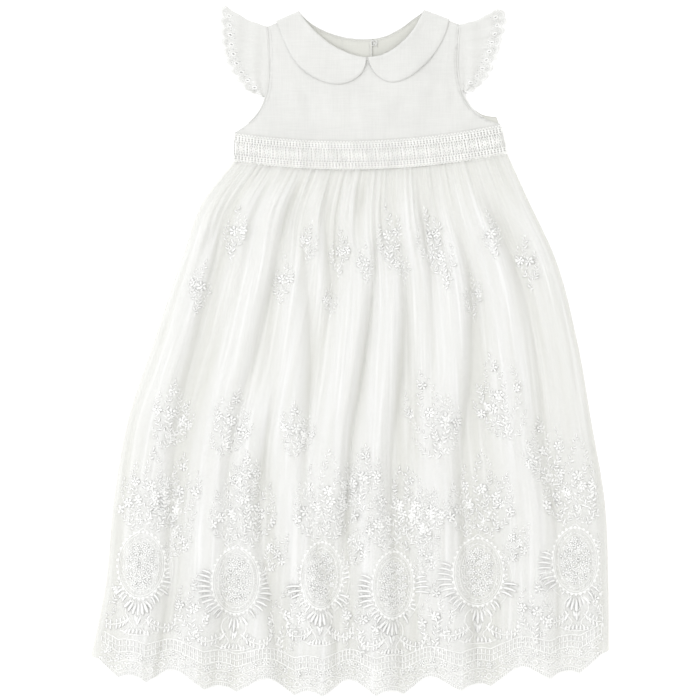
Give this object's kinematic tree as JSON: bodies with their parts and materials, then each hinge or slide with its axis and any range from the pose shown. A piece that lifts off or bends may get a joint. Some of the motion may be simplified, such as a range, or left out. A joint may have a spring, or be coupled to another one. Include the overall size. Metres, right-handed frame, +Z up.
{
  "type": "christening gown",
  "caption": "Long white christening gown laid flat: round collar, flutter sleeves, crochet waistband and a gathered, embroidered net skirt with a scalloped hem.",
  "frame": {"origin": "the middle of the gown's outline, on the surface that it lies on", "axes": "+X to the viewer's right across the gown, +Y from the hem to the neck, +Z up from the surface, out of the gown's front"},
  "size_m": [0.4925, 0.6584, 0.0182],
  "materials": {
    "skirt_net": "sheer white cotton net with white embroidery",
    "skirt_lining": "fine plain white cotton lining",
    "bodice_cotton": "fine plain-weave white cotton",
    "crochet_lace": "white cotton crochet lace",
    "eyelet_cotton": "white cotton with a scalloped eyelet edge",
    "pearl": "soft pearl gloss"
  },
  "bodies": {
    "root": {"skirt_net_front": "skirt_net", "skirt_net_back": "skirt_net", "skirt_lining_front": "skirt_lining", "skirt_lining_back": "skirt_lining", "bodice_front": "bodice_cotton", "bodice_back_left": "bodice_cotton", "bodice_back_right": "bodice_cotton", "waistband_front": "crochet_lace", "waistband_back": "crochet_lace", "collar_left": "bodice_cotton", "collar_right": "bodice_cotton", "sleeve_left": "eyelet_cotton", "sleeve_right": "eyelet_cotton", "button_1": "pearl", "button_2": "pearl", "button_3": "pearl"}
  },
  "joints": []
}
